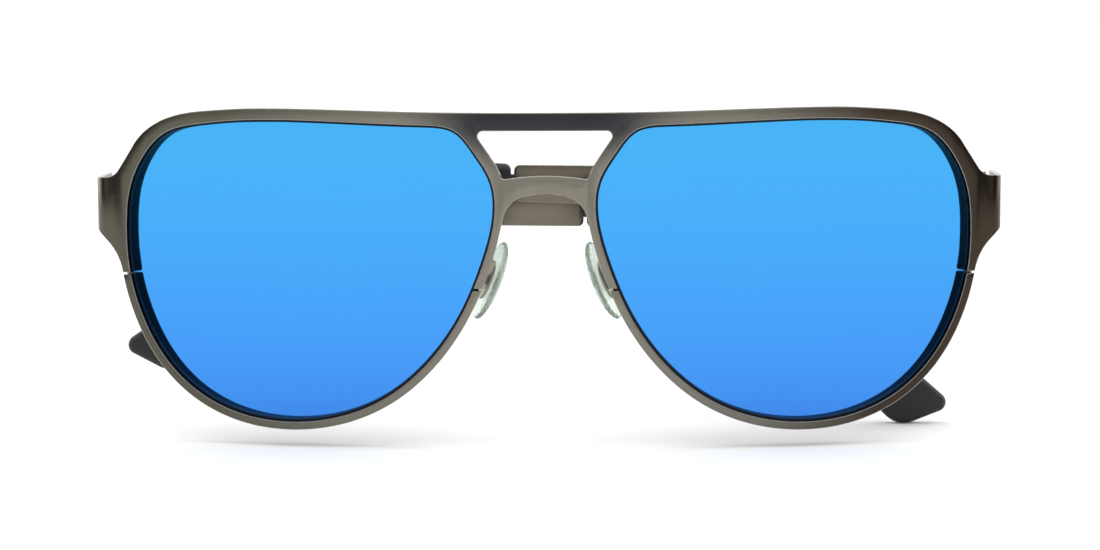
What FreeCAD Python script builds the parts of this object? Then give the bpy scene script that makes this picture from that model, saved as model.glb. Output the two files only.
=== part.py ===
"""Aviator sunglasses: a sheet-metal front, mirrored lenses in closing eyewires, adjustable nose pads
and two hinged temples with rubber tips, folded as they are put away.

Millimetres.  +X is the viewer's right, -Y is the way the lenses face, +Z is up.  "left" and "right"
are the viewer's.  The front is one sheet, curved about an upright axis: "depth" is measured inwards
from its face.  The origin ends up in the middle of the base of the whole object's box.
"""
import FreeCAD
import Part
import math
import os

Vector = FreeCAD.Vector

# ---- front ----
SHEET = 0.8                 # thickness of the front's and the temples' sheet
FACE_RADIUS = 240.0         # curve of the front, seen from above
LENS_WIDTH = 58.6           # lens opening
LENS_HEIGHT = 47.3
BRIDGE_WIDTH = 15.8         # between the two lens openings, at their nearest
RIM_WIDTH = 1.27            # sheet beside and below the lens opening
BROW_WIDTH = 1.8            # sheet above it
SHOULDER_WIDTH = 2.3        # sheet beside the shoulder, where the brow turns down
SHOULDER = 0.75             # height of the shoulder, in half heights of the lens opening
STRUT_WIDTH = 1.8           # sheet between the lens opening and the bridge window
BROW_BAR = 3.43             # brow's top down to the bridge window
BROW_SAG = 0.6              # how much lower the brow runs in the middle
BROW_EASE = (0.55, 0.75)    # where the brow is still low: share of the way to the lens, and of the sag
WINDOW_CORNER = 0.8
WINDOW_FOOT_CORNER = 0.35
BRIDGE_BAR = 2.8            # lower bridge bar's height in the middle
BRIDGE_CROWN = 38.0         # radius of the lower bar's crowned top
BRIDGE_DROP = 10.35         # from the brow's top to the lower bar's top
ARCH = [(0.37, 0.2), (0.70, 1.0), (0.91, 2.5)]  # arch under the bridge: share of its half width, and drop
ARCH_END = 5.2              # below its crown, where it has run into the rim
TAB_REACH = 5.0             # from the lens opening out to the end piece's outer face
TAB_HEIGHT = 8.35
TAB_RISE = 10.2             # end piece's middle above the lens's middle
TAB_CORNER = 2.5            # inside corner over the end piece
TAB_CHAMFER = 1.6           # slanted lower corner of the end piece
TAB_SWEEP = 7.0             # how fully the edge below the end piece curves into the rim
BEND_RADIUS = 2.0           # outside radius of the end piece's bend
RETURN_END = 21.5           # how far back the end piece reaches, from the front's face
SPLIT_GAP = 0.32            # saw cut between the front plate and a lower rim
TEMPORAL_SPLIT = -0.7       # cuts' heights above the lens's middle
NASAL_SPLIT = -2.4

# ---- lenses and eyewires ----
EYEWIRE_LIP = 0.35          # how far the eyewire shows inside the lens opening
EYEWIRE_WALL = 1.15         # its width, seen from the front
EYEWIRE_DEPTH = 3.9         # front to back, behind the sheet
LENS_RECESS = 2.3           # lens face behind the front's face
LENS_THICKNESS = 1.8
GROOVE_DEPTH = 0.45         # lens edge held in the eyewire

# ---- closing blocks, which clamp the eyewire on its lens ----
BLOCK_WIDTH = 1.9
BLOCK_HEIGHT = 2.3
BLOCK_DEPTH = 2.4
CLOSING_SCREW_RADIUS = 0.5
CLOSING_HEAD_RADIUS = 0.82
CLOSING_HEAD = 0.45

# ---- hinges ----
HINGE_OFFSET = 1.5          # pin's axis in from the sheet's inner face
KNUCKLE_RADIUS = 1.2
KNUCKLE_STACK = 7.0         # height of the three knuckles
CENTRE_KNUCKLE = 2.4
KNUCKLE_GAP = 0.06          # between one knuckle and the next
HINGE_PIN_RADIUS = 0.6
HINGE_RUNNING_FIT = 0.04    # radial, in the temple's knuckle
HINGE_HEAD_RADIUS = 0.98
HINGE_HEAD = 0.45
LEAF_THICKNESS = 0.6
FRONT_LEAF = 5.5
TEMPLE_LEAF = 7.0
LEAF_CLEARANCE = 0.15       # between a leaf and the other half's knuckle
BUTT_GAP = 0.2              # between the end piece and the open temple
HINGE_LEAN = 1.7            # degrees that both pins lean towards +X
FOLD_LEFT = 88.0            # degrees from open to folded; the left temple lies behind the right
FOLD_RIGHT = 91.0

# ---- temples ----
TEMPLE_METAL = 74.9         # pin to the end of the bare metal
TEMPLE_HEIGHT = 8.35        # at the hinge
TEMPLE_END_HEIGHT = 5.9     # where the bare metal ends
TEMPLE_END_CORNER = 0.9
TANG_HEIGHT = 2.9           # narrow core inside the rubber
TANG_CORNER = 1.3
TANG_LENGTH = 40.0          # of the core past the bend
BEND_AT = 93.7              # pin to the ear bend
BEND_LEFT = 40.6            # degrees that each temple turns down behind its ear
BEND_RIGHT = 37.0
EAR_BEND_RADIUS = 30.0      # of the core's middle line
TIP_START_GAP = 0.5         # bare core between metal and rubber
TIP_START_HEIGHT = 6.2
TIP_END_HEIGHT = 8.9
TIP_LENGTH = 52.7           # from the bend to the rubber's end, along the top edge
TIP_SLANT = 4.5             # how much shorter the lower edge is
TIP_THICKNESS = 3.0
TIP_TOP_CORNER = 1.6
TIP_FOOT_CORNER = 4.2
TIP_ROUND = 1.1             # rounding of the rubber's long edges

# ---- nose pads ----
PAD_MIDDLE = (9.1, 8.5)     # from the middle plane, and back from the front's face
PAD_DROP = 1.9              # pad's middle below the lens's middle
PAD_TILT = 22.0             # degrees that the pads spread downwards
PAD_SPLAY = 28.0            # degrees that they spread backwards
PAD_LENGTH = 13.2
PAD_WIDTH = 7.2
PAD_THICKNESS = 2.2
PAD_ROUND = 0.85
PAD_CORE_LENGTH = 6.4       # metal plate moulded into the pad
PAD_CORE_WIDTH = 3.2
PAD_CORE_THICKNESS = 0.4
PAD_CORE_COVER = 0.4        # silicone behind the plate
BOSS_WIDTH = 1.6            # the core's boss, which the pad screw holds
BOSS_HEIGHT = 1.3
BOSS_LENGTH = 2.5           # beyond the pad's back
BOX_WALL = 0.5
BOX_SIDE_PLAY = 0.12        # boss to box wall, along the screw
BOX_ROCK_PLAY = 0.6         # boss to box wall, across the screw
BOX_STANDOFF = 0.65         # box rim to the pad's back
BOX_FLOOR_PLAY = 0.25
PAD_SCREW_RADIUS = 0.45
PAD_RUNNING_FIT = 0.05
PAD_HEAD_RADIUS = 0.8
PAD_HEAD = 0.4
ARM_RADIUS = 0.5
ARM_START_RISE = 4.0        # arm's root above the lens's middle
ARM_BULGE = (1.9, 0.2, 1.5)  # how far the arm bows outwards, back and up

SLOT_WIDTH = 0.3            # driver slot in every screw head
SLOT_DEPTH = 0.22
SEGMENTS = 72               # points that an offset outline is drawn through
REACH = 60.0                # longer than the front is deep
TALL = 200.0                # taller than the front

LENS_X = BRIDGE_WIDTH / 2 + LENS_WIDTH / 2
LENS_Z = RIM_WIDTH + LENS_HEIGHT / 2
BROW_Z = LENS_Z + LENS_HEIGHT / 2 + BROW_WIDTH
OUTER_X = BRIDGE_WIDTH / 2 + LENS_WIDTH + TAB_REACH
TAB_Z = LENS_Z + TAB_RISE
PIN_X = OUTER_X - SHEET - HINGE_OFFSET
TEMPORAL_CUT = LENS_Z + TEMPORAL_SPLIT      # heights of the upper sides of the cuts
NASAL_CUT = LENS_Z + NASAL_SPLIT

# Lens opening, clockwise from its top, in half widths and half heights from its middle, for the right
# lens: the inner side, towards the bridge, is -1.
OPENING = [(0.195, 1.002), (0.39, 0.996), (0.572, 0.974), (0.775, 0.909), (0.897, 0.756), (0.975, 0.544),
           (1.0, 0.27), (0.985, -0.014), (0.925, -0.288), (0.809, -0.565), (0.606, -0.817),
           (0.374, -0.953), (0.112, -1.0), (-0.161, -0.959), (-0.418, -0.825), (-0.65, -0.581),
           (-0.823, -0.274), (-0.943, 0.079), (-1.0, 0.364), (-0.985, 0.598), (-0.896, 0.789),
           (-0.794, 0.931), (-0.621, 0.969), (-0.42, 0.977), (-0.21, 0.988), (0.0, 0.998)]


# ---- drawing helpers: outlines lie in the XZ plane in front of the object ----

def flat(x, z):
    return Vector(x, -REACH / 2, z)


def spline(points):
    curve = Part.BSplineCurve()
    curve.interpolate(Points=points)
    return curve.toShape()


def closed_spline(points):
    curve = Part.BSplineCurve()
    curve.interpolate(Points=points, PeriodicFlag=True)
    return curve


def line(start, end):
    return Part.LineSegment(start, end).toShape()


def rounded(corners, closed=True):
    """Straight runs joined by tangent arcs; each corner is (point, radius), and 0 is a sharp corner."""
    count = len(corners)
    entries = []
    for i, (corner, radius) in enumerate(corners):
        ends = not closed and i in (0, count - 1)
        if ends or radius == 0:
            entries.append((corner, corner, None))
            continue
        before = (corners[i - 1][0] - corner).normalize()
        after = (corners[(i + 1) % count][0] - corner).normalize()
        half = before.getAngle(after) / 2
        reach = radius / math.tan(half)
        middle = (before + after).normalize() * (radius / math.sin(half) - radius)
        entries.append((corner + before * reach, corner + after * reach, corner + middle))
    edges = []
    for i in range(count if closed else count - 1):
        leave, arrive = entries[i], entries[(i + 1) % count]
        if leave[2] is not None:
            edges.append(Part.Arc(leave[0], leave[2], leave[1]).toShape())
        if leave[1].distanceToPoint(arrive[0]) > 1e-6:
            edges.append(line(leave[1], arrive[0]))
    return edges


def prism(edges, direction=Vector(0, REACH * 1.5, 0)):
    wire = Part.Wire(Part.__sortEdges__(edges))
    return Part.Face(wire).extrude(direction)


def box(low, high):
    size = [h - l for l, h in zip(low, high)]
    return Part.makeBox(size[0], size[1], size[2], Vector(*low))


def turned(shape, axis, degrees):
    copy = shape.copy()
    copy.rotate(Vector(0, 0, 0), axis, degrees)
    return copy


def moved(shape, offset):
    copy = shape.copy()
    copy.translate(offset)
    return copy


def mirrored(shape, side):
    """The shape itself on the right, its mirror image on the left."""
    return shape if side > 0 else shape.mirror(Vector(0, 0, 0), Vector(1, 0, 0))


def joined(first, *others):
    return first.fuse(list(others)).removeSplitter()


def screw(radius, length, head_radius, head, start, axis):
    """A cheese-head screw from start along axis, its slotted head at the far end."""
    end = start + axis * length
    shank = Part.makeCylinder(radius, length, start, axis)
    cap = Part.makeCylinder(head_radius, head, end, axis)
    across = axis.cross(Vector(0.3, 0.4, 0.5)).normalize()
    side = axis.cross(across)
    low = end + axis * (head - SLOT_DEPTH) - across * head_radius * 2 - side * SLOT_WIDTH / 2
    corners = [low, low + across * head_radius * 4]
    corners += [corners[1] + side * SLOT_WIDTH, low + side * SLOT_WIDTH]
    slot = Part.Face(Part.makePolygon(corners + [low])).extrude(axis * head)
    return joined(shank, cap.cut(slot))


# ---- the lens opening and what is offset from it ----

def opening_curve():
    points = [flat(LENS_X + u * LENS_WIDTH / 2, LENS_Z + v * LENS_HEIGHT / 2) for u, v in OPENING]
    return closed_spline(points)


CURVE = opening_curve()


def offset_point(t, distance):
    point = CURVE.value(t)
    along = CURVE.tangent(t)[0]
    return point + Vector(-along.z, 0, along.x) * distance


def offset_parameters():
    span = CURVE.LastParameter - CURVE.FirstParameter
    return [CURVE.FirstParameter + span * i / SEGMENTS for i in range(SEGMENTS)]


def offset_prism(distance):
    """The lens opening, grown by a distance, cut right through the front."""
    points = [offset_point(t, distance) for t in offset_parameters()]
    return prism([closed_spline(points).toShape()])


def parameter_at(height, outer, distance):
    """Where the offset outline's outer or inner side reaches a height."""
    best = None
    for t in offset_parameters():
        point = offset_point(t, distance)
        if (point.x > LENS_X) == outer and (best is None or abs(point.z - height) < best[0]):
            best = (abs(point.z - height), t)
    step = (CURVE.LastParameter - CURVE.FirstParameter) / SEGMENTS
    t = best[1]
    for _ in range(40):
        here = abs(offset_point(t, distance).z - height)
        for trial in (t - step, t + step):
            if abs(offset_point(trial, distance).z - height) < here:
                t = trial
                here = abs(offset_point(t, distance).z - height)
        step /= 2
    return t


def face_depth(x):
    """How far back the front's face lies at a distance from the middle plane."""
    return FACE_RADIUS - math.sqrt(FACE_RADIUS ** 2 - x ** 2)


def layer(shallow, deep):
    """A curved layer of the front between two depths."""
    base = Vector(0, FACE_RADIUS, -TALL / 2)
    outer = Part.makeCylinder(FACE_RADIUS - shallow, TALL, base)
    return outer.cut(Part.makeCylinder(FACE_RADIUS - deep, TALL, base))


# ---- front plate and lower rims ----

def bent_path(depth):
    """The sheet's run seen from above, at a depth: the face, the two bends and the returns."""
    radius = FACE_RADIUS - depth
    bend = BEND_RADIUS - depth
    centre = Vector(OUTER_X - BEND_RADIUS, 0, 0)
    centre.y = FACE_RADIUS - math.sqrt((FACE_RADIUS - BEND_RADIUS) ** 2 - centre.x ** 2)
    towards = (centre - Vector(0, FACE_RADIUS, 0)).normalize()
    meet = centre + towards * bend
    middle = centre + (towards + Vector(1, 0, 0)).normalize() * bend
    side = centre + Vector(bend, 0, 0)
    end = Vector(side.x, RETURN_END - BUTT_GAP / 2, 0)

    def across(point):
        return Vector(-point.x, point.y, 0)

    return [line(across(end), across(side)), Part.Arc(across(side), across(middle), across(meet)).toShape(),
            Part.Arc(across(meet), Vector(0, FACE_RADIUS - radius, 0), meet).toShape(),
            Part.Arc(meet, middle, side).toShape(), line(side, end), line(end, across(end))]


def bent_sheet():
    outside = prism(bent_path(0), Vector(0, 0, TALL))
    return moved(outside.cut(prism(bent_path(SHEET), Vector(0, 0, TALL))), Vector(0, 0, -TALL / 2))


def spread(start, stop):
    """Curve parameters from start to stop, as far apart as an offset outline's points."""
    step = (CURVE.LastParameter - CURVE.FirstParameter) / SEGMENTS
    count = max(2, round(abs(stop - start) / step / 2))
    return [start + (stop - start) * i / count for i in range(count + 1)]


def to_left(points):
    """The same points on the left, in the order that runs towards the middle."""
    return [Vector(-point.x, point.y, point.z) for point in reversed(points)]


def arch_points():
    """The plate's lower edge on the right: from beside the arch's crown down to the nasal cut."""
    crown = BROW_Z - BRIDGE_DROP - BRIDGE_BAR
    half = BRIDGE_WIDTH / 2 - RIM_WIDTH
    points = [flat(share * half, crown - drop) for share, drop in ARCH]
    start = parameter_at(crown - ARCH_END, False, RIM_WIDTH)
    stop = parameter_at(NASAL_CUT, False, RIM_WIDTH)
    return flat(0, crown), points + [offset_point(t, RIM_WIDTH) for t in spread(start, stop)]


def brow_points():
    """The plate's top edge on the right: to where it turns straight down towards the end piece."""
    shoulder = parameter_at(LENS_Z + SHOULDER * LENS_HEIGHT / 2, True, 0)
    run = []
    for t in spread(CURVE.FirstParameter, shoulder):
        share = (t - CURVE.FirstParameter) / (shoulder - CURVE.FirstParameter)
        run.append(offset_point(t, BROW_WIDTH + (SHOULDER_WIDTH - BROW_WIDTH) * share ** 2))
    ease = flat(LENS_X * BROW_EASE[0], BROW_Z - BROW_SAG * BROW_EASE[1])
    return flat(0, BROW_Z - BROW_SAG), [ease] + run


def end_piece_edges():
    """The plate's outer edge on the right, from the shoulder round the end piece to the temporal cut."""
    shoulder = parameter_at(LENS_Z + SHOULDER * LENS_HEIGHT / 2, True, 0)
    top = offset_point(shoulder, SHOULDER_WIDTH)
    along = CURVE.tangent(shoulder)[0]
    high = TAB_Z + TAB_HEIGHT / 2
    low = TAB_Z - TAB_HEIGHT / 2
    corner = top + along * ((high - top.z) / along.z)
    clear = OUTER_X + SHEET
    foot = flat(OUTER_X - TAB_CHAMFER, low - TAB_CHAMFER)
    path = [(top, 0), (corner, TAB_CORNER), (flat(clear, high), 0), (flat(clear, low), 0),
            (flat(OUTER_X, low), 0), (foot, 0)]
    split = parameter_at(TEMPORAL_CUT, True, RIM_WIDTH)
    sweep = Part.BSplineCurve()
    inwards = Vector(-1, 0, -1).normalize()
    sweep.interpolate(Points=[foot, offset_point(split, RIM_WIDTH)], InitialTangent=inwards * TAB_SWEEP,
                      FinalTangent=CURVE.tangent(split)[0] * TAB_SWEEP)
    return rounded(path, closed=False) + [sweep.toShape()]


def plate_outline():
    """The front plate's outline; below the cuts it crosses the lens openings, which are cut out later."""
    crown, arch = arch_points()
    middle, brow = brow_points()
    nose = arch[-1]
    side = end_piece_edges()
    last = side[-1].Vertexes[-1].Point
    step = [nose, flat(LENS_X, nose.z), flat(LENS_X, last.z), last]
    right = side + [line(a, b) for a, b in zip(step, step[1:])]
    left = [edge.mirror(Vector(0, 0, 0), Vector(1, 0, 0)) for edge in right]
    lower = spline(to_left(arch) + [crown] + arch)
    upper = spline(to_left(brow) + [middle] + brow)
    return right + left + [lower, upper]


def bridge_window():
    """The window between the brow bar and the crowned lower bar, between struts of one width."""
    top = BROW_Z - BROW_BAR
    crest = BROW_Z - BRIDGE_DROP
    crown = Part.makeCylinder(BRIDGE_CROWN, REACH, flat(0, crest - BRIDGE_CROWN), Vector(0, 1, 0))
    strut = offset_prism(STRUT_WIDTH)
    window = box((-LENS_X, -REACH / 2, crest - BRIDGE_CROWN / 2), (LENS_X, REACH / 2, top))
    window = window.cut([strut, mirrored(strut, -1), crown])
    window = min(window.Solids, key=lambda solid: abs(solid.CenterOfMass.x))
    window = window.makeFillet(WINDOW_CORNER, window_corners(window, lambda z: z > crest))
    return window.makeFillet(WINDOW_FOOT_CORNER, window_corners(window, lambda z: z < crest))


def window_corners(window, chosen):
    return [edge for edge in window.Edges if is_along_y(edge) and chosen(edge.Vertexes[0].Z)]


def is_along_y(edge):
    run = edge.Vertexes[-1].Point - edge.Vertexes[0].Point
    return len(edge.Vertexes) == 2 and abs(run.x) + abs(run.z) < 1e-4


def front_plate():
    openings = offset_prism(0)
    blank = prism(plate_outline()).common(bent_sheet())
    return blank.cut([openings, mirrored(openings, -1), bridge_window()]).removeSplitter()


def below_cuts(gap):
    """The space below the two cuts of the right rim."""
    half = TALL / 2
    outer = box((LENS_X, -half, -half), (TALL, half, TEMPORAL_CUT - gap))
    inner = box((0, -half, -half), (LENS_X, half, NASAL_CUT - gap))
    return outer.fuse(inner)


def lower_rim():
    ring = offset_prism(RIM_WIDTH).common(layer(0, SHEET)).cut(offset_prism(0))
    return ring.common(below_cuts(SPLIT_GAP))


# ---- lenses, eyewires and closing blocks ----

def lens():
    edge = offset_prism(GROOVE_DEPTH - EYEWIRE_LIP)
    return edge.common(layer(LENS_RECESS, LENS_RECESS + LENS_THICKNESS))


def eyewire(glass):
    ring = offset_prism(EYEWIRE_WALL - EYEWIRE_LIP).cut(offset_prism(-EYEWIRE_LIP))
    ring = ring.common(layer(SHEET, SHEET + EYEWIRE_DEPTH))
    saw = box((LENS_X, -TALL, TEMPORAL_CUT - SPLIT_GAP), (TALL, TALL, TEMPORAL_CUT))
    return ring.cut([saw, glass])


def closing_parts(held):
    """Two blocks behind the eyewire's cut, and the screw that draws them together."""
    cut = parameter_at(TEMPORAL_CUT, True, 0)
    root = offset_point(cut, EYEWIRE_WALL / 2 - EYEWIRE_LIP)
    back = face_depth(root.x) + SHEET + EYEWIRE_DEPTH
    low = (root.x - BLOCK_WIDTH / 2, back - EYEWIRE_DEPTH / 4)
    high = (root.x + BLOCK_WIDTH / 2, back + BLOCK_DEPTH)
    upper = box(low + (TEMPORAL_CUT,), high + (TEMPORAL_CUT + BLOCK_HEIGHT,))
    lower = box(low + (TEMPORAL_CUT - SPLIT_GAP - BLOCK_HEIGHT,), high + (TEMPORAL_CUT - SPLIT_GAP,))
    start = Vector(root.x, back + BLOCK_DEPTH / 2, TEMPORAL_CUT + BLOCK_HEIGHT)
    bolt = screw(CLOSING_SCREW_RADIUS, 2 * BLOCK_HEIGHT + SPLIT_GAP, CLOSING_HEAD_RADIUS, CLOSING_HEAD, start,
                 Vector(0, 0, -1))
    return upper.cut(held + [bolt]), lower.cut(held + [bolt]), bolt


# ---- hinges and temples: drawn open, round the pin, for the right; +X is outwards, +Y backwards ----

def placed(shape, side, fold):
    """Folds a temple's piece in about the pin, then leans it and sets it at its end piece."""
    piece = turned(mirrored(shape, side), Vector(0, 0, 1), side * fold)
    piece = turned(piece, Vector(0, 1, 0), HINGE_LEAN)
    return moved(piece, Vector(side * PIN_X, RETURN_END, TAB_Z))


def knuckle(low, high):
    return Part.makeCylinder(KNUCKLE_RADIUS, high - low, Vector(0, 0, low))


def hinge_screw():
    half = KNUCKLE_STACK / 2
    return screw(HINGE_PIN_RADIUS, KNUCKLE_STACK, HINGE_HEAD_RADIUS, HINGE_HEAD, Vector(0, 0, -half),
                 Vector(0, 0, 1))


def hinge_front(side, plate):
    half = KNUCKLE_STACK / 2
    inner = CENTRE_KNUCKLE / 2 + KNUCKLE_GAP
    leaf = box((HINGE_OFFSET - LEAF_THICKNESS, -FRONT_LEAF, -half), (HINGE_OFFSET + SHEET / 2, 0, half))
    clear = KNUCKLE_RADIUS + LEAF_CLEARANCE
    room = box((-clear, -clear, -inner), (HINGE_OFFSET + SHEET, clear, inner))
    shape = leaf.cut(room).fuse([knuckle(-half, -inner), knuckle(inner, half)])
    shape = placed(shape.cut(hinge_screw()).removeSplitter(), side, 0)
    return shape.cut(plate)


def hinge_temple(side, fold):
    half = CENTRE_KNUCKLE / 2
    clear = KNUCKLE_RADIUS + LEAF_CLEARANCE
    tall = KNUCKLE_STACK / 2
    leaf = box((HINGE_OFFSET - LEAF_THICKNESS, clear, -tall), (HINGE_OFFSET, TEMPLE_LEAF, tall))
    web = box((HINGE_OFFSET - LEAF_THICKNESS, 0, -half), (HINGE_OFFSET, clear, half))
    web = web.cut(box((0, 0, -half), (HINGE_OFFSET, BUTT_GAP / 2, half)))
    bore = Part.makeCylinder(HINGE_PIN_RADIUS + HINGE_RUNNING_FIT, CENTRE_KNUCKLE, Vector(0, 0, -half))
    return placed(joined(knuckle(-half, half), leaf, web).cut(bore), side, fold)


def temple_plane(y, z):
    return Vector(HINGE_OFFSET, y, z)


def ear_corner(height, bend, above):
    """Where an edge that runs above or below the temple's middle line turns down behind the ear."""
    shift = height / 2 * math.tan(math.radians(bend / 2))
    sign = 1 if above else -1
    return temple_plane(BEND_AT + sign * shift, sign * height / 2)


def past_bend(bend, length, offset):
    """A point past the bend, measured along the turned-down middle line and square to it."""
    angle = math.radians(bend)
    return temple_plane(BEND_AT + length * math.cos(angle) + offset * math.sin(angle),
                        -length * math.sin(angle) + offset * math.cos(angle))


def slab(corners, thickness, start=0.0):
    edges = rounded(corners)
    return moved(prism(edges, Vector(thickness, 0, 0)), Vector(start, 0, 0))


def temple_blank(bend):
    front = BUTT_GAP / 2
    half, end = TEMPLE_HEIGHT / 2, TEMPLE_END_HEIGHT / 2
    tang = TANG_HEIGHT / 2
    upper = [(temple_plane(front, half), 0), (temple_plane(TEMPLE_METAL, end), TEMPLE_END_CORNER),
             (temple_plane(TEMPLE_METAL, tang), 0),
             (ear_corner(TANG_HEIGHT, bend, True), EAR_BEND_RADIUS + tang),
             (past_bend(bend, TANG_LENGTH, tang), TANG_CORNER)]
    lower = [(past_bend(bend, TANG_LENGTH, -tang), TANG_CORNER),
             (ear_corner(TANG_HEIGHT, bend, False), EAR_BEND_RADIUS - tang),
             (temple_plane(TEMPLE_METAL, -tang), 0), (temple_plane(TEMPLE_METAL, -end), TEMPLE_END_CORNER),
             (temple_plane(front, -half), 0)]
    return slab(upper + lower, SHEET)


def temple_tip(bend):
    start, end = TIP_START_HEIGHT / 2, TIP_END_HEIGHT / 2
    front = TEMPLE_METAL + TIP_START_GAP
    middle = start + (end - start) * (BEND_AT - front) / (BEND_AT - front + TIP_LENGTH)
    corners = [(temple_plane(front, start), TIP_ROUND),
               (ear_corner(2 * middle, bend, True), EAR_BEND_RADIUS + middle),
               (past_bend(bend, TIP_LENGTH, end), TIP_TOP_CORNER),
               (past_bend(bend, TIP_LENGTH - TIP_SLANT, -end), TIP_FOOT_CORNER),
               (ear_corner(2 * middle, bend, False), EAR_BEND_RADIUS - middle),
               (temple_plane(front, -start), TIP_ROUND)]
    rubber = slab(corners, TIP_THICKNESS, (SHEET - TIP_THICKNESS) / 2)
    sides = [face for face in rubber.Faces if abs(abs(face.normalAt(0, 0).x) - 1) < 1e-6]
    rims = [edge for face in sides for edge in face.Edges]
    return rubber.makeFillet(TIP_ROUND, rims).cut(temple_blank(bend))


# ---- nose pads: drawn upright, for the right; +X is away from the nose, +Y backwards ----

def pad_placed(shape):
    piece = turned(shape, Vector(0, 0, 1), -PAD_SPLAY)
    piece = turned(piece, Vector(0, 1, 0), -PAD_TILT)
    return moved(piece, Vector(PAD_MIDDLE[0], PAD_MIDDLE[1], LENS_Z - PAD_DROP))


def oval_plate(length, width, thickness, start):
    """An upright oval plate, its thickness along X from start."""
    oval = Part.Ellipse(Vector(0, 0, 0), length / 2, width / 2).toShape()
    plate = Part.Face(Part.Wire([oval])).extrude(Vector(0, 0, thickness))
    return moved(turned(plate, Vector(0, 1, 0), 90), Vector(start, 0, 0))


def pad_core_blank():
    back = PAD_THICKNESS / 2
    face = back - PAD_CORE_COVER - PAD_CORE_THICKNESS
    plate = oval_plate(PAD_CORE_LENGTH, PAD_CORE_WIDTH, PAD_CORE_THICKNESS, face)
    boss = box((face, -BOSS_WIDTH / 2, -BOSS_HEIGHT / 2),
               (back + BOSS_LENGTH, BOSS_WIDTH / 2, BOSS_HEIGHT / 2))
    return joined(plate, boss)


def pad_screw_place():
    """How far the axis of the pad's screw lies behind the pad's middle."""
    return PAD_THICKNESS / 2 + BOSS_LENGTH - BOSS_HEIGHT / 2


def pad_core():
    start = Vector(pad_screw_place(), -PAD_WIDTH / 2, 0)
    hole = Part.makeCylinder(PAD_SCREW_RADIUS + PAD_RUNNING_FIT, PAD_WIDTH, start, Vector(0, 1, 0))
    return pad_placed(pad_core_blank().cut(hole))


def nose_pad():
    pad = oval_plate(PAD_LENGTH, PAD_WIDTH, PAD_THICKNESS, -PAD_THICKNESS / 2)
    rims = [edge for edge in pad.Edges if len(edge.Vertexes) == 1]
    return pad_placed(pad.makeFillet(PAD_ROUND, rims).cut(pad_core_blank()))


def pad_screw():
    half = BOSS_WIDTH / 2 + BOX_SIDE_PLAY + BOX_WALL
    start = Vector(pad_screw_place(), -half, 0)
    return pad_placed(screw(PAD_SCREW_RADIUS, 2 * half, PAD_HEAD_RADIUS, PAD_HEAD, start, Vector(0, 1, 0)))


def pad_box_space(wall):
    """The inside of the box that the pad's boss rocks in, or with a wall the box's outside."""
    mouth = PAD_THICKNESS / 2 + BOX_STANDOFF
    floor = PAD_THICKNESS / 2 + BOSS_LENGTH + BOX_FLOOR_PLAY + wall
    wide = BOSS_WIDTH / 2 + BOX_SIDE_PLAY + wall
    tall = BOSS_HEIGHT / 2 + BOX_ROCK_PLAY + wall
    return pad_placed(box((mouth, -wide, -tall), (floor, wide, tall)))


def pad_box():
    return pad_box_space(BOX_WALL).cut([pad_box_space(0), pad_screw()])


def pad_arm(held):
    """A bent wire from the back of the eyewire to the pad's box."""
    root = offset_point(parameter_at(LENS_Z + ARM_START_RISE, False, 0), EYEWIRE_WALL / 2 - EYEWIRE_LIP)
    start = Vector(root.x, face_depth(root.x) + SHEET + EYEWIRE_DEPTH - ARM_RADIUS / 2, root.z)
    end = pad_placed(Part.Vertex(pad_screw_place(), 0, 0)).Point
    middle = (start + end) / 2 + Vector(*ARM_BULGE)
    path = Part.Wire([Part.Arc(start, middle, end).toShape()])
    along = path.Edges[0].tangentAt(path.Edges[0].FirstParameter)
    profile = Part.Wire([Part.Circle(start, along, ARM_RADIUS).toShape()])
    return path.makePipeShell([profile], True, False).cut(held + [pad_box_space(BOX_WALL)])


# ---- the whole object ----

def paired_pieces():
    """The right half's pieces that the left half mirrors."""
    glass = lens()
    ring = eyewire(glass)
    held = [ring, glass]
    upper, lower, bolt = closing_parts(held)
    return {
        "lower_rim": lower_rim(),
        "eyewire": ring,
        "lens": glass,
        "closing_block_upper": upper,
        "closing_block_lower": lower,
        "closing_screw": bolt,
        "pad_arm": pad_arm(held),
        "pad_box": pad_box(),
        "pad_screw": pad_screw(),
        "pad_core": pad_core(),
        "nose_pad": nose_pad(),
    }


def temple_pieces(side, fold, bend, plate):
    return {
        "hinge_front": hinge_front(side, plate),
        "hinge_screw": placed(hinge_screw(), side, 0),
        "hinge_temple": hinge_temple(side, fold),
        "temple": placed(temple_blank(bend), side, fold),
        "temple_tip": placed(temple_tip(bend), side, fold),
    }


def build():
    plate = front_plate()
    nodes = {"front_plate": plate}
    pairs = paired_pieces()
    for name, side, fold, bend in (("left", -1, FOLD_LEFT, BEND_LEFT), ("right", 1, FOLD_RIGHT, BEND_RIGHT)):
        pieces = {piece: mirrored(shape, side) for piece, shape in pairs.items()}
        pieces.update(temple_pieces(side, fold, bend, plate))
        for piece, shape in pieces.items():
            nodes[piece + "_" + name] = shape
    return nodes


def report(shift, whole):
    """Prints what the joints and the interfaces are placed by."""
    lean = math.radians(HINGE_LEAN)
    screw_middle = pad_placed(Part.Vertex(pad_screw_place(), 0, 0)).Point
    screw_end = pad_placed(Part.Vertex(pad_screw_place(), 1, 0)).Point
    print("size", whole.XLength, whole.YLength, whole.ZLength, "shift", shift)
    pin = Vector(PIN_X, RETURN_END, TAB_Z) + shift
    print("right hinge pin", pin, "along", math.sin(lean), math.cos(lean))
    print("right pad screw", screw_middle + shift, "along", screw_end - screw_middle)


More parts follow.
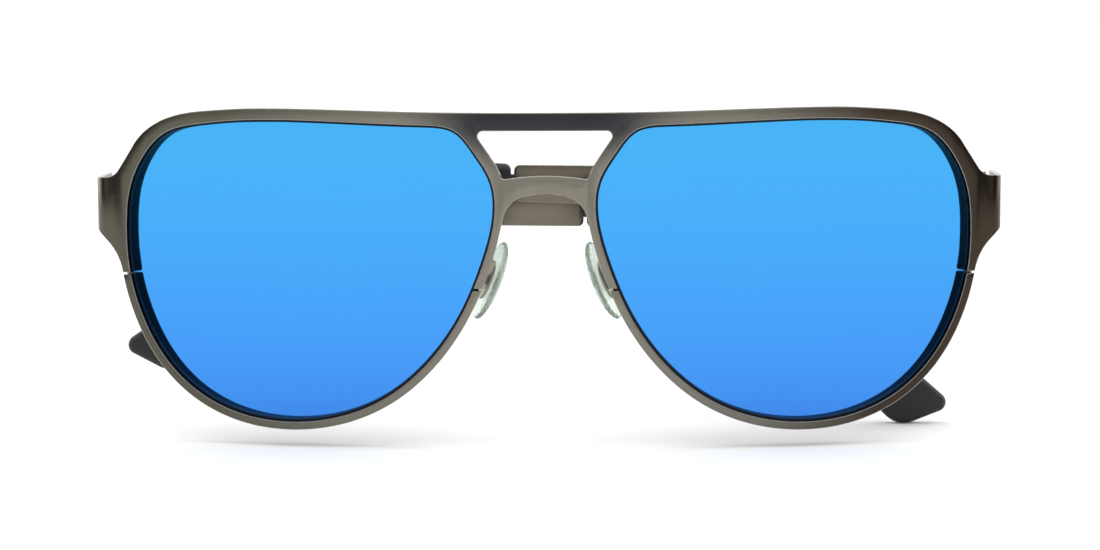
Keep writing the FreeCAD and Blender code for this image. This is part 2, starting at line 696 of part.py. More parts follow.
def main():
    nodes = build()
    whole = Part.makeCompound(list(nodes.values())).optimalBoundingBox(False, False)
    shift = Vector(-(whole.XMin + whole.XMax) / 2, -(whole.YMin + whole.YMax) / 2, -whole.ZMin)
    os.makedirs("parts", exist_ok=True)
    for name, shape in nodes.items():
        piece = moved(shape, shift)
        print(name, len(piece.Solids), piece.isValid(), round(piece.Volume, 2))
        piece.exportStep("parts/" + name + ".step")
    report(shift, whole)


main()
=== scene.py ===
"""Looks of a pair of aviator sunglasses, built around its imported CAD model, which is the fixed frame."""

import math

import bpy
from bpy.props import FloatProperty, FloatVectorProperty, IntProperty, PointerProperty
from bpy.types import Operator, Panel, PropertyGroup
from mathutils import Matrix, Vector


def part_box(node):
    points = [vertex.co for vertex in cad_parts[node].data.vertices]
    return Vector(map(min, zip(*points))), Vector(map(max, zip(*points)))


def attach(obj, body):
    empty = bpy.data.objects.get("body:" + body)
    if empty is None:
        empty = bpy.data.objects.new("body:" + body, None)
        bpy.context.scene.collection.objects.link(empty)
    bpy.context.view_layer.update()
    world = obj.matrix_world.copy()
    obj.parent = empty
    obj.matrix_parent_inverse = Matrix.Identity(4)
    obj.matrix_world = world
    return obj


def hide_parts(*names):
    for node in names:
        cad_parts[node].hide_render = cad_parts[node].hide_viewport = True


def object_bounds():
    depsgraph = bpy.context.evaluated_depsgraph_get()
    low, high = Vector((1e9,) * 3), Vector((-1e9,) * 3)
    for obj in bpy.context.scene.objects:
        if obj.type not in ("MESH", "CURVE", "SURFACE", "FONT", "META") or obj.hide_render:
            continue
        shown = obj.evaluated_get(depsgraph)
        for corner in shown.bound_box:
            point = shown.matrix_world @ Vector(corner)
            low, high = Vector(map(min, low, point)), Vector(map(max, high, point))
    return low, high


bl_info = {
    "name": "Aviator sunglasses",
    "version": (1, 0, 0),
    "blender": (4, 5, 0),
    "location": "3D View > Sidebar > Aviator",
    "description": "Models and finishes a pair of sheet-metal aviator sunglasses",
    "category": "Object",
}

SIDES = ("left", "right")
MM = 0.001
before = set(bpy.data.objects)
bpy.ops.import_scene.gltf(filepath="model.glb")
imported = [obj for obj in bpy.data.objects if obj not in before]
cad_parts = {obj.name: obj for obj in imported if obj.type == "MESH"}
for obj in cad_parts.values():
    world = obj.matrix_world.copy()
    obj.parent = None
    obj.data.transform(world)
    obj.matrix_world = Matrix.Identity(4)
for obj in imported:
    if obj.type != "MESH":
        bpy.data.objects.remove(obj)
CAD_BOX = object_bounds()
FRONT_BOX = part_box("front_plate")
RIM_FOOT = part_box("lower_rim_right")[0].z
LENS_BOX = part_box("lens_right")
PAD_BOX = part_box("nose_pad_right")

# CAD meshes: how near two corners are to be one, how flat two faces are to be one, what counts as sharp
JOIN_WITHIN = 1e-6
FLAT_WITHIN = math.radians(0.4)
SHARP_SHEET = math.radians(35)
SHARP_RUBBER = math.radians(40)

# Painted shade on the brow bar: where it starts and is full, down from the front's top and out from its
# middle
BROW_STARTS_DOWN, BROW_FULL_DOWN = 10.5 * MM, 2.5 * MM
BROW_STARTS_OUT, BROW_FULL_OUT = 25 * MM, 9 * MM

# Mirror coat: it ends where the lens's surface turns edge-on, within this much of its normal's Y
COAT_BLEND = 0.05

# Nose pad: the straight wall's share of its thickness, and each face's rings, (inset, rise) in millimetres
PAD_WALL = 0.52
PAD_NOSE_RINGS = ((0.45, 0.32), (0.9, 0.2), (0.9, 0.06))
PAD_REAR_RINGS = ((0.4, 0.26), (0.9, 0.12))

# Stage, in metres: the floor's width, its gap under the object, and each softbox's place, size and watts
FLOOR_WIDTH = 6
FLOOR_GAP = 0.02 * MM
SOFTBOXES = {
    "softbox_top": ((0, -0.25, 0.9), (1.0, 0.8), 1.5),
    "softbox_left": ((-0.9, 0.35, 0.35), (0.5, 0.6), 1.5),
    "softbox_right": ((0.9, 0.35, 0.35), (0.5, 0.6), 1.5),
}
# Brightness of the room's walls, from straight ahead of the object round to straight behind it
WALL_LIGHT = ((0.0, 0.5), (0.11, 0.5), (0.19, 0.02), (0.38, 0.02), (0.46, 1.0), (1.0, 0.8))
CEILING_LIGHT = 0.62
ROOM_STRENGTH = 2.0
# Camera: what it looks at, above the rims' foot, its sensor's width in millimetres and its nearest view
AIM_HEIGHT = 25.5 * MM
SENSOR_WIDTH = 36
CLIP_START = 0.01


# ---- small tools ----

def linear(hex_colour):
    """An sRGB hex colour as three linear numbers."""
    shares = [int(hex_colour[i:i + 2], 16) / 255 for i in (1, 3, 5)]
    return tuple(s / 12.92 if s <= 0.04045 else ((s + 0.055) / 1.055) ** 2.4 for s in shares)


def add_node(tree, kind, values=None, feeds=None, **settings):
    """Adds a node, sets its settings and its sockets, and links what feeds it."""
    node = tree.nodes.new("ShaderNode" + kind)
    for name, value in settings.items():
        setattr(node, name, value)
    for name, value in (values or {}).items():
        node.inputs[name].default_value = value
    for name, source in (feeds or {}).items():
        tree.links.new(source, node.inputs[name])
    return node


def new_material(name):
    """An empty material and its node tree."""
    material = bpy.data.materials.new(name)
    material.use_nodes = True
    material.node_tree.nodes.clear()
    return material, material.node_tree


def finish_material(tree, values, feeds):
    """Adds the surface shader and links it to the output."""
    shader = add_node(tree, "BsdfPrincipled", values, feeds)
    add_node(tree, "OutputMaterial", feeds={"Surface": shader.outputs["BSDF"]})


def place_of(tree, scale=(1, 1, 1)):
    """Where a point is on the object, scaled for a pattern."""
    coordinates = add_node(tree, "TexCoord")
    mapping = add_node(tree, "Mapping", {"Scale": scale}, {"Vector": coordinates.outputs["Object"]})
    return mapping.outputs["Vector"]


def per_mm(size_in_mm):
    """A noise texture's scale for grains of that size."""
    return 1 / (size_in_mm * MM)


def stops(ramp, colours):
    """Sets a colour ramp's stops, a list of (position, colour)."""
    elements = ramp.color_ramp.elements
    while len(elements) < len(colours):
        elements.new(0.5)
    for element, (position, colour) in zip(elements, colours):
        element.position = position
        element.color = (*colour, 1)
    return ramp.outputs["Color"]


def pick(obj):
    """Makes obj the only selected object and the active one."""
    bpy.ops.object.select_all(action="DESELECT")
    obj.select_set(True)
    bpy.context.view_layer.objects.active = obj


def dress(obj, material):
    """Gives obj that one material."""
    if obj.material_slots:
        obj.material_slots[0].material = material
    else:
        obj.data.materials.append(material)


def dress_sheet(piece, plated, wear_and_gleam):
    """Gives a sheet piece its plating, and a second finish that its rounded edges will take."""
    dress(piece, plated)
    piece.data.materials.append(wear_and_gleam)


def apply_modifier(obj, kind, **settings):
    """Adds a modifier to obj and applies it. Leaves obj picked."""
    modifier = obj.modifiers.new(kind.title(), kind)
    for name, value in settings.items():
        setattr(modifier, name, value)
    pick(obj)
    bpy.ops.object.modifier_apply(modifier=modifier.name)


def merged_copy(node, name):
    """A copy of a CAD node's mesh as a piece of its own, its loose triangles joined. It is left picked."""
    piece = bpy.data.objects.new(name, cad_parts[node].data.copy())
    bpy.context.scene.collection.objects.link(piece)
    pick(piece)
    bpy.ops.mesh.customdata_custom_splitnormals_clear()
    bpy.ops.object.mode_set(mode="EDIT")
    bpy.ops.mesh.select_all(action="SELECT")
    bpy.ops.mesh.remove_doubles(threshold=JOIN_WITHIN)
    bpy.ops.mesh.dissolve_limited(angle_limit=FLAT_WITHIN)
    bpy.ops.object.mode_set(mode="OBJECT")
    return piece


def ease_edges(piece, width, steps):
    """Rounds the sharp edges of a sheet piece in its second finish, and shades it smooth between them."""
    apply_modifier(piece, "BEVEL", width=width, segments=steps, limit_method="ANGLE",
                   angle_limit=SHARP_SHEET, use_clamp_overlap=False, material=1)
    bpy.ops.object.shade_smooth_by_angle(angle=SHARP_SHEET)


def settle(piece, body, slot, *nodes):
    """Hangs a finished piece on its body and hides the CAD nodes that it stands for. Its slot is not used.
    """
    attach(piece, body)
    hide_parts(*nodes)


# ---- sizes and colours that a user would change ----

class SheetSettings(PropertyGroup):
    """Sheet-metal front and temples."""
    edge: FloatProperty(name="Edge rounding", description="Rounding of the tumbled sheet edges",
                        default=0.14 * MM, min=0.0, unit="LENGTH", precision=5)
    steps: IntProperty(name="Edge steps", description="Faces across a rounded edge", default=2, min=1)
    # Bridge, rim and end-piece tones are painted light and shade across the front: lighter at the bridge,
    # darker at both end pieces, the right one most.
    bridge_painted_light: FloatVectorProperty(name="Bridge tone", description="Plating at the bridge",
                               subtype="COLOR", default=linear("#7a766c"))
    middle: FloatVectorProperty(name="Rim tone", description="Plating above and below the lenses",
                                subtype="COLOR", default=linear("#6f6c62"))
    left: FloatVectorProperty(name="Left tone", description="Plating at the left end piece",
                              subtype="COLOR", default=linear("#57544a"))
    right: FloatVectorProperty(name="Right tone", description="Plating at the right end piece",
                               subtype="COLOR", default=linear("#3d352d"))
    # Brow tone: painted shade laid over the brow bar, darkest at its top and middle.
    brow: FloatVectorProperty(name="Brow tone", subtype="COLOR", default=linear("#343539"),
                              description="Plating on the brow bar, where it is thickest")
    # Edge tone: partly the bare metal where tumbling thins the plating, and partly a painted highlight
    # along every edge.
    wear_and_gleam: FloatVectorProperty(name="Edge tone", subtype="COLOR", default=linear("#8f8b82"),
                              description="Rounded edges, where tumbling thins the plating")
    temple: FloatVectorProperty(name="Temple tone", description="Plating on the temples",
                                subtype="COLOR", default=linear("#746c60"))


class LensSettings(PropertyGroup):
    """Mirror lenses and the eyewires round them."""
    top: FloatVectorProperty(name="Mirror, top", description="Mirror coating at the lens's top",
                             subtype="COLOR", default=linear("#42a5e1"))
    foot: FloatVectorProperty(name="Mirror, foot", description="Mirror coating at the lens's foot",
                              subtype="COLOR", default=linear("#3e81d9"))
    smoke: FloatVectorProperty(name="Smoke", description="Lens body, seen from behind",
                               subtype="COLOR", default=linear("#23262a"))
    # Eyewire tone: partly the lacquer, and partly painted shade and painted reflection for the dark band
    # where the lens sits back in its recess.
    wire: FloatVectorProperty(name="Eyewire", description="Lacquer on the eyewires",
                              subtype="COLOR", default=linear("#03050f"))


class FittingSettings(PropertyGroup):
    """Hinges, closing blocks, pad arms and boxes, and screws."""
    nickel: FloatVectorProperty(name="Nickel silver", description="Hinges, blocks, arms and boxes",
                                subtype="COLOR", default=linear("#a8a296"))
    steel: FloatVectorProperty(name="Screw steel", description="Turned screws",
                               subtype="COLOR", default=linear("#c6c4bf"))


class PadSettings(PropertyGroup):
    """Nose pads."""
    length: FloatProperty(name="Length", description="Pad, upright", default=13.9 * MM, unit="LENGTH")
    width: FloatProperty(name="Width", description="Pad, front to back", default=7.9 * MM, unit="LENGTH")
    thickness: FloatProperty(name="Thickness", description="Pad in its middle",
                             default=2.1 * MM, unit="LENGTH")
    tilt: FloatProperty(name="Spread downwards", description="Lean of the pad, seen from the front",
                        default=math.radians(22), subtype="ANGLE")
    splay: FloatProperty(name="Spread backwards", description="Lean of the pad, seen from above",
                         default=math.radians(28), subtype="ANGLE")
    colour: FloatVectorProperty(name="Silicone", description="Tint of the clear silicone",
                                subtype="COLOR", default=linear("#e2efe4"))


class TipSettings(PropertyGroup):
    """Rubber temple tips."""
    colour: FloatVectorProperty(name="Rubber", description="Charcoal rubber",
                                subtype="COLOR", default=linear("#0f1113"))


class StudioSettings(PropertyGroup):
    """Camera, lights and floor."""
    focal: FloatProperty(name="Focal length", description="Camera lens, in millimetres",
                         default=95.32, unit="CAMERA")
    distance: FloatProperty(name="Distance", description="Camera to the front", default=450 * MM,
                            unit="LENGTH")
    azimuth: FloatProperty(name="Azimuth", description="Camera to the right of straight ahead",
                           default=math.radians(1.73), subtype="ANGLE")
    elevation: FloatProperty(name="Elevation", description="Camera above level",
                             default=math.radians(6), subtype="ANGLE")
    roll: FloatProperty(name="Roll", description="Turn of the camera about its own axis",
                        default=math.radians(-0.27), subtype="ANGLE")
    aim: FloatVectorProperty(name="Aim", description="Point aimed at, from the front's middle",
                             default=(0.72 * MM, 0, -0.77 * MM), unit="LENGTH")
    floor: FloatVectorProperty(name="Floor", description="Pale paper under the object",
                               subtype="COLOR", default=linear("#f8f8f8"))


# ---- finishes ----

def satin_gunmetal(name, looks, front):
    """Stainless sheet, etched to shape, tumbled, brushed along its length and plated gunmetal.

    To the eye: a soft satin grey-brown with fine lengthwise grain. On the front its colour holds painted
    light
    and shade: lighter at the bridge, darker towards both end pieces, the right one most, and painted shade
    on the brow bar, darkest at its top and middle. Its edges are bright, partly bare metal and partly
    painted highlight."""
    material, tree = new_material(name)
    grain = add_node(tree, "TexNoise", {"Scale": 1.0, "Detail": 4.0, "Roughness": 0.6},
                     {"Vector": place_of(tree, (per_mm(9), per_mm(0.5), per_mm(0.22)))})
    cloud = add_node(tree, "TexNoise", {"Scale": per_mm(14), "Detail": 2.0}, {"Vector": place_of(tree)})
    if front:
        split = add_node(tree, "SeparateXYZ", feeds={"Vector": place_of(tree)})
        # Painted light and shade: the tone runs across the front, lighter at the bridge and darker at both
        # end pieces.
        across = add_node(tree, "MapRange", {"From Min": CAD_BOX[0].x, "From Max": CAD_BOX[1].x},
                          {"Value": split.outputs["X"]})
        ramp = add_node(tree, "ValToRGB", feeds={"Fac": across.outputs["Result"]})
        tone = stops(ramp, [(0.0, looks.left), (0.14, looks.left), (0.27, looks.middle),
                            (0.43, looks.bridge_painted_light), (0.57, looks.bridge_painted_light), (0.72, looks.middle),
                            (0.86, looks.right), (1.0, looks.right)])
        # Painted shade on the brow bar, strongest at its top and middle.
        apart = add_node(tree, "Math", feeds={0: split.outputs["X"]}, operation="ABSOLUTE")
        top = FRONT_BOX[1].z
        upward = add_node(tree, "MapRange",
                          {"From Min": top - BROW_STARTS_DOWN, "From Max": top - BROW_FULL_DOWN},
                          {"Value": split.outputs["Z"]}, interpolation_type="SMOOTHSTEP")
        inward = add_node(tree, "MapRange", {"From Min": BROW_STARTS_OUT, "From Max": BROW_FULL_OUT},
                          {"Value": apart.outputs[0]}, interpolation_type="SMOOTHSTEP")
        dark = add_node(tree, "Math", feeds={0: upward.outputs["Result"], 1: inward.outputs["Result"]},
                        operation="MULTIPLY")
        toned = add_node(tree, "Mix", {"B": (*looks.brow, 1)}, {"Factor": dark.outputs[0], "A": tone},
                         data_type="RGBA")
        tone = toned.outputs["Result"]
    else:
        ramp = add_node(tree, "ValToRGB", feeds={"Fac": cloud.outputs["Fac"]})
        tone = stops(ramp, [(0.3, [0.85 * c for c in looks.temple]), (0.7, looks.temple)])
    shade = add_node(tree, "MapRange", {"To Min": 0.86, "To Max": 1.14}, {"Value": grain.outputs["Fac"]})
    drift = add_node(tree, "MapRange", {"To Min": 0.9, "To Max": 1.1}, {"Value": cloud.outputs["Fac"]})
    both = add_node(tree, "Math", feeds={0: shade.outputs["Result"], 1: drift.outputs["Result"]},
                    operation="MULTIPLY")
    colour = add_node(tree, "VectorMath", feeds={0: tone, "Scale": both.outputs[0]}, operation="SCALE")
    rough = add_node(tree, "MapRange", {"To Min": 0.19, "To Max": 0.3}, {"Value": grain.outputs["Fac"]})
    bump = add_node(tree, "Bump", {"Strength": 0.12, "Distance": 0.02 * MM},
                    {"Height": grain.outputs["Fac"]})
    finish_material(tree, {"Metallic": 1.0},
                    {"Base Color": colour.outputs["Vector"], "Roughness": rough.outputs["Result"],
                     "Normal": bump.outputs["Normal"]})
    return material


def flash_mirror(looks):
    """Smoke-grey polycarbonate lens with a vapour-deposited mirror coat on its outer face.

    To the eye: an even, bright blue that runs from light at the top to deep at the foot, and from behind
    a dark, glossy grey."""
    material, tree = new_material("polycarbonate_vapour_coated_mirror")
    split = add_node(tree, "SeparateXYZ", feeds={"Vector": place_of(tree)})
    height = add_node(tree, "MapRange", {"From Min": LENS_BOX[0].z, "From Max": LENS_BOX[1].z},
                      {"Value": split.outputs["Z"]})
    haze = add_node(tree, "TexNoise", {"Scale": per_mm(18), "Detail": 1.0}, {"Vector": place_of(tree)})
    waver = add_node(tree, "MapRange", {"To Min": -0.03, "To Max": 0.03}, {"Value": haze.outputs["Fac"]})
    shifted = add_node(tree, "Math", feeds={0: height.outputs["Result"], 1: waver.outputs["Result"]},
                       operation="ADD")
    ramp = add_node(tree, "ValToRGB", feeds={"Fac": shifted.outputs[0]})
    colour = stops(ramp, [(0.0, looks.foot), (1.0, looks.top)])
    rough = add_node(tree, "MapRange", {"To Min": 0.04, "To Max": 0.07}, {"Value": haze.outputs["Fac"]})
    facing = add_node(tree, "NewGeometry")
    turned = add_node(tree, "SeparateXYZ", feeds={"Vector": facing.outputs["Normal"]})
    coated = add_node(tree, "MapRange", {"From Min": COAT_BLEND, "From Max": -COAT_BLEND},
                      {"Value": turned.outputs["Y"]})
    both = add_node(tree, "Mix", {"A": (*looks.smoke, 1)},
                    {"Factor": coated.outputs["Result"], "B": colour}, data_type="RGBA")
    finish_material(tree, {"IOR": 1.58},
                    {"Base Color": both.outputs["Result"], "Roughness": rough.outputs["Result"],
                     "Metallic": coated.outputs["Result"]})
    return material


def lacquer_and_recess_shade(looks):
    """Nickel silver eyewire, sprayed with black-blue lacquer and stoved.

    To the eye: a deep gloss, nearly black, with a faint orange peel. Its deep navy is partly the lacquer
    and partly painted shade and painted reflection: the dark band where the lens sits back in its recess."""
    material, tree = new_material("nickel_silver_stoved_lacquer")
    peel = add_node(tree, "TexNoise", {"Scale": per_mm(0.6), "Detail": 2.0}, {"Vector": place_of(tree)})
    ramp = add_node(tree, "ValToRGB", feeds={"Fac": peel.outputs["Fac"]})
    colour = stops(ramp, [(0.3, [0.6 * c for c in looks.wire]), (0.7, looks.wire)])
    rough = add_node(tree, "MapRange", {"To Min": 0.3, "To Max": 0.42}, {"Value": peel.outputs["Fac"]})
    bump = add_node(tree, "Bump", {"Strength": 0.1, "Distance": 0.02 * MM},
                    {"Height": peel.outputs["Fac"]})
    finish_material(tree, {"IOR": 1.5, "Specular IOR Level": 0.2},
                    {"Base Color": colour, "Roughness": rough.outputs["Result"],
                     "Normal": bump.outputs["Normal"]})
    return material


def bare_metal(name, colour, grain_mm, low, high):
    """Bare metal with fine tool marks: a clean grey whose gloss breaks up along them."""
    material, tree = new_material(name)
    along, across = per_mm(4 * grain_mm), per_mm(grain_mm)
    marks = add_node(tree, "TexNoise", {"Scale": 1.0, "Detail": 3.0},
                     {"Vector": place_of(tree, (along, across, across))})
    ramp = add_node(tree, "ValToRGB", feeds={"Fac": marks.outputs["Fac"]})
    shade = stops(ramp, [(0.3, [0.75 * c for c in colour]), (0.65, colour)])
    rough = add_node(tree, "MapRange", {"To Min": low, "To Max": high}, {"Value": marks.outputs["Fac"]})
    bump = add_node(tree, "Bump", {"Strength": 0.15, "Distance": 0.015 * MM},
                    {"Height": marks.outputs["Fac"]})
    finish_material(tree, {"Metallic": 1.0},
                    {"Base Color": shade, "Roughness": rough.outputs["Result"],
                     "Normal": bump.outputs["Normal"]})
    return material


def clear_silicone(colour):
    """Clear silicone, moulded round the core in a polished mould.

    To the eye: watery and faintly green, with white gleams and a slightly cloudy body."""
    material, tree = new_material("silicone_moulded_clear")
    cloud = add_node(tree, "TexNoise", {"Scale": per_mm(2.5), "Detail": 2.0}, {"Vector": place_of(tree)})
    ramp = add_node(tree, "ValToRGB", feeds={"Fac": cloud.outputs["Fac"]})
    shade = stops(ramp, [(0.3, [0.9 * c for c in colour]), (0.7, colour)])
    rough = add_node(tree, "MapRange", {"To Min": 0.08, "To Max": 0.2}, {"Value": cloud.outputs["Fac"]})
    bump = add_node(tree, "Bump", {"Strength": 0.15, "Distance": 0.05 * MM},
                    {"Height": cloud.outputs["Fac"]})
    finish_material(tree, {"IOR": 1.41, "Transmission Weight": 0.82},
                    {"Base Color": shade, "Roughness": rough.outputs["Result"],
                     "Normal": bump.outputs["Normal"]})
    return material


def moulded_rubber(colour):
    """Charcoal rubber from a spark-eroded mould: matt, with a fine even grain and a soft sheen."""
    material, tree = new_material("rubber_moulded_matt")
    grain = add_node(tree, "TexNoise", {"Scale": per_mm(0.25), "Detail": 3.0}, {"Vector": place_of(tree)})
    cloud = add_node(tree, "TexNoise", {"Scale": per_mm(8), "Detail": 2.0}, {"Vector": place_of(tree)})
    ramp = add_node(tree, "ValToRGB", feeds={"Fac": cloud.outputs["Fac"]})
    shade = stops(ramp, [(0.3, [0.8 * c for c in colour]), (0.7, colour)])
    rough = add_node(tree, "MapRange", {"To Min": 0.5, "To Max": 0.66}, {"Value": grain.outputs["Fac"]})
    bump = add_node(tree, "Bump", {"Strength": 0.3, "Distance": 0.03 * MM},
                    {"Height": grain.outputs["Fac"]})
    finish_material(tree, {"IOR": 1.5, "Sheen Weight": 0.15, "Sheen Roughness": 0.4},
                    {"Base Color": shade, "Roughness": rough.outputs["Result"],
                     "Normal": bump.outputs["Normal"]})
    return material


# ---- pieces ----

class AVIATOR_OT_front_sheet(Operator):
    """Front plate and lower rims, with tumbled edges, in satin gunmetal"""
    bl_idname = "aviator.front_sheet"
    bl_label = "Front sheet"

    def execute(self, context):
        looks = context.scene.aviator_sheet
        metal = satin_gunmetal("stainless_sheet_satin_gunmetal_painted_light", looks, True)
        # Edge finish: partly bare tumbled metal, and partly a painted highlight along every edge.
        wear_and_gleam = bare_metal("stainless_sheet_tumbled_edge_and_gleam", looks.wear_and_gleam, 0.15, 0.2, 0.34)
        for node in ("front_plate", "lower_rim_left", "lower_rim_right"):
            piece = merged_copy(node, "eased_" + node)
            dress_sheet(piece, metal, wear_and_gleam)
            ease_edges(piece, looks.edge, looks.steps)
            settle(piece, "front", "front_sheet", node)
        return {"FINISHED"}


class AVIATOR_OT_temples(Operator):
    """Temples, with tumbled edges, in satin gunmetal"""
    bl_idname = "aviator.temples"
    bl_label = "Temples"

    def execute(self, context):
        looks = context.scene.aviator_sheet
        metal = satin_gunmetal("stainless_temple_satin_gunmetal", looks, False)
        # Edge finish: partly bare tumbled metal, and partly a painted highlight along every edge.
        wear_and_gleam = bare_metal("stainless_temple_tumbled_edge_and_gleam", looks.wear_and_gleam, 0.15, 0.2, 0.34)
        for side in SIDES:
            node = "temple_" + side
            piece = merged_copy(node, "eased_" + node)
            dress_sheet(piece, metal, wear_and_gleam)
            ease_edges(piece, looks.edge, looks.steps)
            settle(piece, "temple_arm_" + side, "temple_sheet", node)
        return {"FINISHED"}


class AVIATOR_OT_lenses(Operator):
    """Mirror lenses and the lacquered eyewires that hold them"""
    bl_idname = "aviator.lenses"
    bl_label = "Lenses and eyewires"

    def execute(self, context):
        looks = context.scene.aviator_lens
        mirror = flash_mirror(looks)
        lacquer = lacquer_and_recess_shade(looks)
        for side in SIDES:
            dress(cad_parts["lens_" + side], mirror)
            dress(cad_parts["eyewire_" + side], lacquer)
        return {"FINISHED"}


class AVIATOR_OT_fittings(Operator):
    """Hinges, closing blocks, pad arms, boxes and cores, and the screws"""
    bl_idname = "aviator.fittings"
    bl_label = "Fittings and screws"

    def execute(self, context):
        looks = context.scene.aviator_fitting
        nickel = bare_metal("nickel_silver_milled", looks.nickel, 0.12, 0.24, 0.4)
        steel = bare_metal("stainless_steel_turned", looks.steel, 0.08, 0.14, 0.26)
        for name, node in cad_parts.items():
            if "screw" in name:
                dress(node, steel)
            elif name.startswith(("hinge", "closing_block", "pad_")):
                dress(node, nickel)
        return {"FINISHED"}


def cap_faces(mesh, direction):
    """Selects the faces that look most along X, one way or the other."""
    for polygon in mesh.polygons:
        polygon.select = polygon.normal.x * direction > 0.99


def crown(piece, direction, rings):
    """Builds up one face of a pad in rings: each ring is set in and raised by its own amount."""
    bpy.ops.object.mode_set(mode="OBJECT")
    cap_faces(piece.data, direction)
    bpy.ops.object.mode_set(mode="EDIT")
    for inset, rise in rings:
        bpy.ops.mesh.inset(thickness=inset * MM, depth=0)
        bpy.ops.transform.translate(value=(direction * rise * MM, 0, 0))


def model_nose_pad(looks):
    """The right-hand pad, upright at the origin, its crowned face towards -X."""
    bpy.ops.object.select_all(action="DESELECT")
    bpy.ops.mesh.primitive_cylinder_add(vertices=28, radius=0.5, depth=looks.thickness * PAD_WALL,
                                        rotation=(0, math.pi / 2, 0))
    piece = bpy.context.object
    bpy.ops.object.transform_apply(location=True, rotation=True, scale=True)
    bpy.ops.object.mode_set(mode="EDIT")
    bpy.ops.mesh.select_all(action="SELECT")
    bpy.ops.transform.resize(value=(1, looks.width, looks.length))
    crown(piece, -1, PAD_NOSE_RINGS)
    crown(piece, 1, PAD_REAR_RINGS)
    bpy.ops.object.mode_set(mode="OBJECT")
    apply_modifier(piece, "SUBSURF", levels=2, render_levels=2)
    bpy.ops.object.shade_smooth()
    return piece


class AVIATOR_OT_nose_pads(Operator):
    """Oval nose pads of clear silicone, crowned towards the nose"""
    bl_idname = "aviator.nose_pads"
    bl_label = "Nose pads"

    def execute(self, context):
        looks = context.scene.aviator_pad
        silicone = clear_silicone(looks.colour)
        shape = model_nose_pad(looks)
        middle = (PAD_BOX[0] + PAD_BOX[1]) / 2
        lean = Matrix.Rotation(-looks.tilt, 4, "Y") @ Matrix.Rotation(-looks.splay, 4, "Z")
        across = Vector((1, 0, 0))
        for side, hand in (("right", 1), ("left", -1)):
            piece = bpy.data.objects.new("silicone_pad_" + side, shape.data.copy())
            context.scene.collection.objects.link(piece)
            piece.matrix_world = Matrix.Scale(hand, 4, across) @ Matrix.Translation(middle) @ lean
            pick(piece)
            bpy.ops.object.transform_apply(location=True, rotation=True, scale=True)
            bpy.ops.object.mode_set(mode="EDIT")
            bpy.ops.mesh.select_all(action="SELECT")
            bpy.ops.mesh.normals_make_consistent(inside=False)
            bpy.ops.object.mode_set(mode="OBJECT")
            dress(piece, silicone)
            settle(piece, "pad_" + side, "pad_silicone", "nose_pad_" + side)
        bpy.data.objects.remove(shape)
        return {"FINISHED"}


class AVIATOR_OT_temple_tips(Operator):
    """Rubber temple tips"""
    bl_idname = "aviator.temple_tips"
    bl_label = "Temple tips"

    def execute(self, context):
        rubber = moulded_rubber(context.scene.aviator_tip.colour)
        for side in SIDES:
            node = "temple_tip_" + side
            piece = merged_copy(node, "rubber_tip_" + side)
            bpy.ops.object.shade_smooth_by_angle(angle=SHARP_RUBBER)
            dress(piece, rubber)
            settle(piece, "temple_arm_" + side, "tip_rubber", node)
        return {"FINISHED"}


# ---- stage ----

def paper_floor(colour):
    """White background paper: matt and even, with the faintest fibre mottle."""
    material, tree = new_material("paper_matt_white")
    mottle = add_node(tree, "TexNoise", {"Scale": per_mm(3), "Detail": 3.0}, {"Vector": place_of(tree)})
    ramp = add_node(tree, "ValToRGB", feeds={"Fac": mottle.outputs["Fac"]})
    shade = stops(ramp, [(0.3, [0.99 * c for c in colour]), (0.7, colour)])
    finish_material(tree, {"Roughness": 0.9, "Specular IOR Level": 0.1}, {"Base Color": shade})
    return material


def soft_room():
    """A pale room: even ahead, shaded to either side, bright behind the object and seen as plain white."""
    world = bpy.data.worlds.new("studio_room")
    world.use_nodes = True
    tree = world.node_tree
    tree.nodes.clear()
    direction = add_node(tree, "TexCoord")
    split = add_node(tree, "SeparateXYZ", feeds={"Vector": direction.outputs["Generated"]})
    along = add_node(tree, "MapRange", {"From Min": -1.0, "From Max": 1.0}, {"Value": split.outputs["Y"]})
    ramp = add_node(tree, "ValToRGB", feeds={"Fac": along.outputs["Result"]})
    light = stops(ramp, [(position, [grey] * 3) for position, grey in WALL_LIGHT])
    upward = add_node(tree, "MapRange", {"From Min": 0.3, "From Max": 0.7}, {"Value": split.outputs["Z"]})
    ceiling = add_node(tree, "Mix", {"B": (CEILING_LIGHT, CEILING_LIGHT, CEILING_LIGHT, 1)},
                       {"Factor": upward.outputs["Result"], "A": light}, data_type="RGBA")
    room = add_node(tree, "Background", {"Strength": ROOM_STRENGTH}, {"Color": ceiling.outputs["Result"]})
    white = add_node(tree, "Background", {"Color": (1, 1, 1, 1), "Strength": 1.0})
    ray = add_node(tree, "LightPath")
    seen = add_node(tree, "MixShader", feeds={0: ray.outputs["Is Camera Ray"], 1: room.outputs[0],
                                              2: white.outputs[0]})
    add_node(tree, "OutputWorld", feeds={"Surface": seen.outputs[0]})
    return world


def add_softbox(name, place, size, power):
    """A large rectangular light at that place, turned to the object."""
    bpy.ops.object.light_add(type="AREA", location=place)
    lamp = bpy.context.object
    lamp.name = name
    lamp.data.shape = "RECTANGLE"
    lamp.data.size, lamp.data.size_y = size
    lamp.data.energy = power
    lamp.rotation_euler = (-Vector(place)).to_track_quat("-Z", "Y").to_euler()


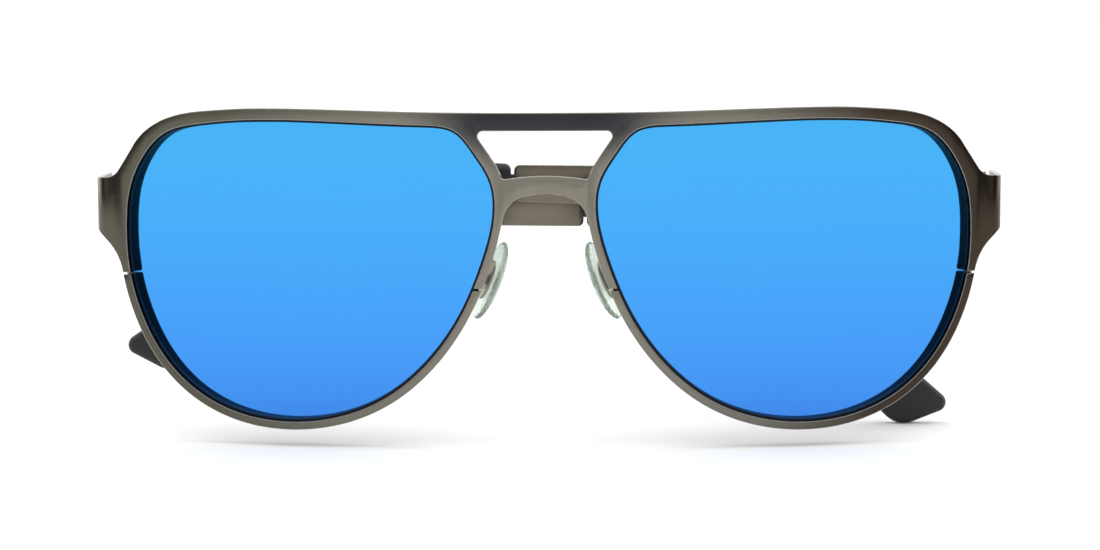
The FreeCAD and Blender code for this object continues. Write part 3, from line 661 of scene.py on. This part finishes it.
class AVIATOR_OT_studio(Operator):
    """Pale floor, soft light and the camera"""
    bl_idname = "aviator.studio"
    bl_label = "Studio"

    def execute(self, context):
        looks = context.scene.aviator_studio
        bpy.ops.object.select_all(action="DESELECT")
        bpy.ops.mesh.primitive_plane_add(size=FLOOR_WIDTH, location=(0, 0, CAD_BOX[0].z - FLOOR_GAP))
        floor = context.object
        floor.name = "paper_floor"
        dress(floor, paper_floor(looks.floor))
        for name, (place, size, power) in SOFTBOXES.items():
            add_softbox(name, place, size, power)
        context.scene.world = soft_room()
        context.scene.view_settings.view_transform = "Standard"
        self.add_camera(context.scene, looks)
        return {"FINISHED"}

    def add_camera(self, scene, looks):
        """A camera almost straight ahead and a little above."""
        target = Vector((0, FRONT_BOX[0].y, RIM_FOOT + AIM_HEIGHT))
        level, rise = math.cos(looks.elevation), math.sin(looks.elevation)
        back = Vector((math.sin(looks.azimuth) * level, -math.cos(looks.azimuth) * level, rise))
        place = target + back * looks.distance
        sight = (target + Vector(looks.aim) - place).normalized()
        right = sight.cross(Vector((0, 0, 1))).normalized()
        up = right.cross(sight)
        turned = right * math.cos(looks.roll) + up * math.sin(looks.roll)
        raised = turned.cross(sight)
        axes = Matrix((turned, raised, -sight)).transposed().to_4x4()
        bpy.ops.object.camera_add()
        camera = bpy.context.object
        camera.name = "camera_front"
        camera.matrix_world = Matrix.Translation(place) @ axes
        camera.data.lens = looks.focal
        camera.data.sensor_width = SENSOR_WIDTH
        camera.data.clip_start = CLIP_START
        scene.camera = camera


class AVIATOR_PT_panel(Panel):
    """Sizes, colours and steps"""
    bl_idname = "AVIATOR_PT_panel"
    bl_label = "Aviator sunglasses"
    bl_space_type = "VIEW_3D"
    bl_region_type = "UI"
    bl_category = "Aviator"

    def draw(self, context):
        for name, steps in GROUPS:
            group = getattr(context.scene, name)
            column = self.layout.column(align=True)
            for setting in group.bl_rna.properties.keys():
                if setting not in ("rna_type", "name"):
                    column.prop(group, setting)
            for step in steps:
                column.operator(step.bl_idname)


SETTINGS = {
    "aviator_sheet": SheetSettings,
    "aviator_lens": LensSettings,
    "aviator_fitting": FittingSettings,
    "aviator_pad": PadSettings,
    "aviator_tip": TipSettings,
    "aviator_studio": StudioSettings,
}
GROUPS = [
    ("aviator_sheet", [AVIATOR_OT_front_sheet, AVIATOR_OT_temples]),
    ("aviator_lens", [AVIATOR_OT_lenses]),
    ("aviator_fitting", [AVIATOR_OT_fittings]),
    ("aviator_pad", [AVIATOR_OT_nose_pads]),
    ("aviator_tip", [AVIATOR_OT_temple_tips]),
    ("aviator_studio", [AVIATOR_OT_studio]),
]
OPERATORS = [step for _, steps in GROUPS for step in steps]
CLASSES = [*SETTINGS.values(), *OPERATORS, AVIATOR_PT_panel]


def register():
    for cls in CLASSES:
        bpy.utils.register_class(cls)
    for name, cls in SETTINGS.items():
        setattr(bpy.types.Scene, name, PointerProperty(type=cls))


def unregister():
    for name in SETTINGS:
        delattr(bpy.types.Scene, name)
    for cls in reversed(CLASSES):
        bpy.utils.unregister_class(cls)


def main():
    register()
    bpy.ops.aviator.front_sheet()
    bpy.ops.aviator.temples()
    bpy.ops.aviator.lenses()
    bpy.ops.aviator.fittings()
    bpy.ops.aviator.nose_pads()
    bpy.ops.aviator.temple_tips()
    bpy.ops.aviator.studio()


if __name__ == "__main__":
    main()
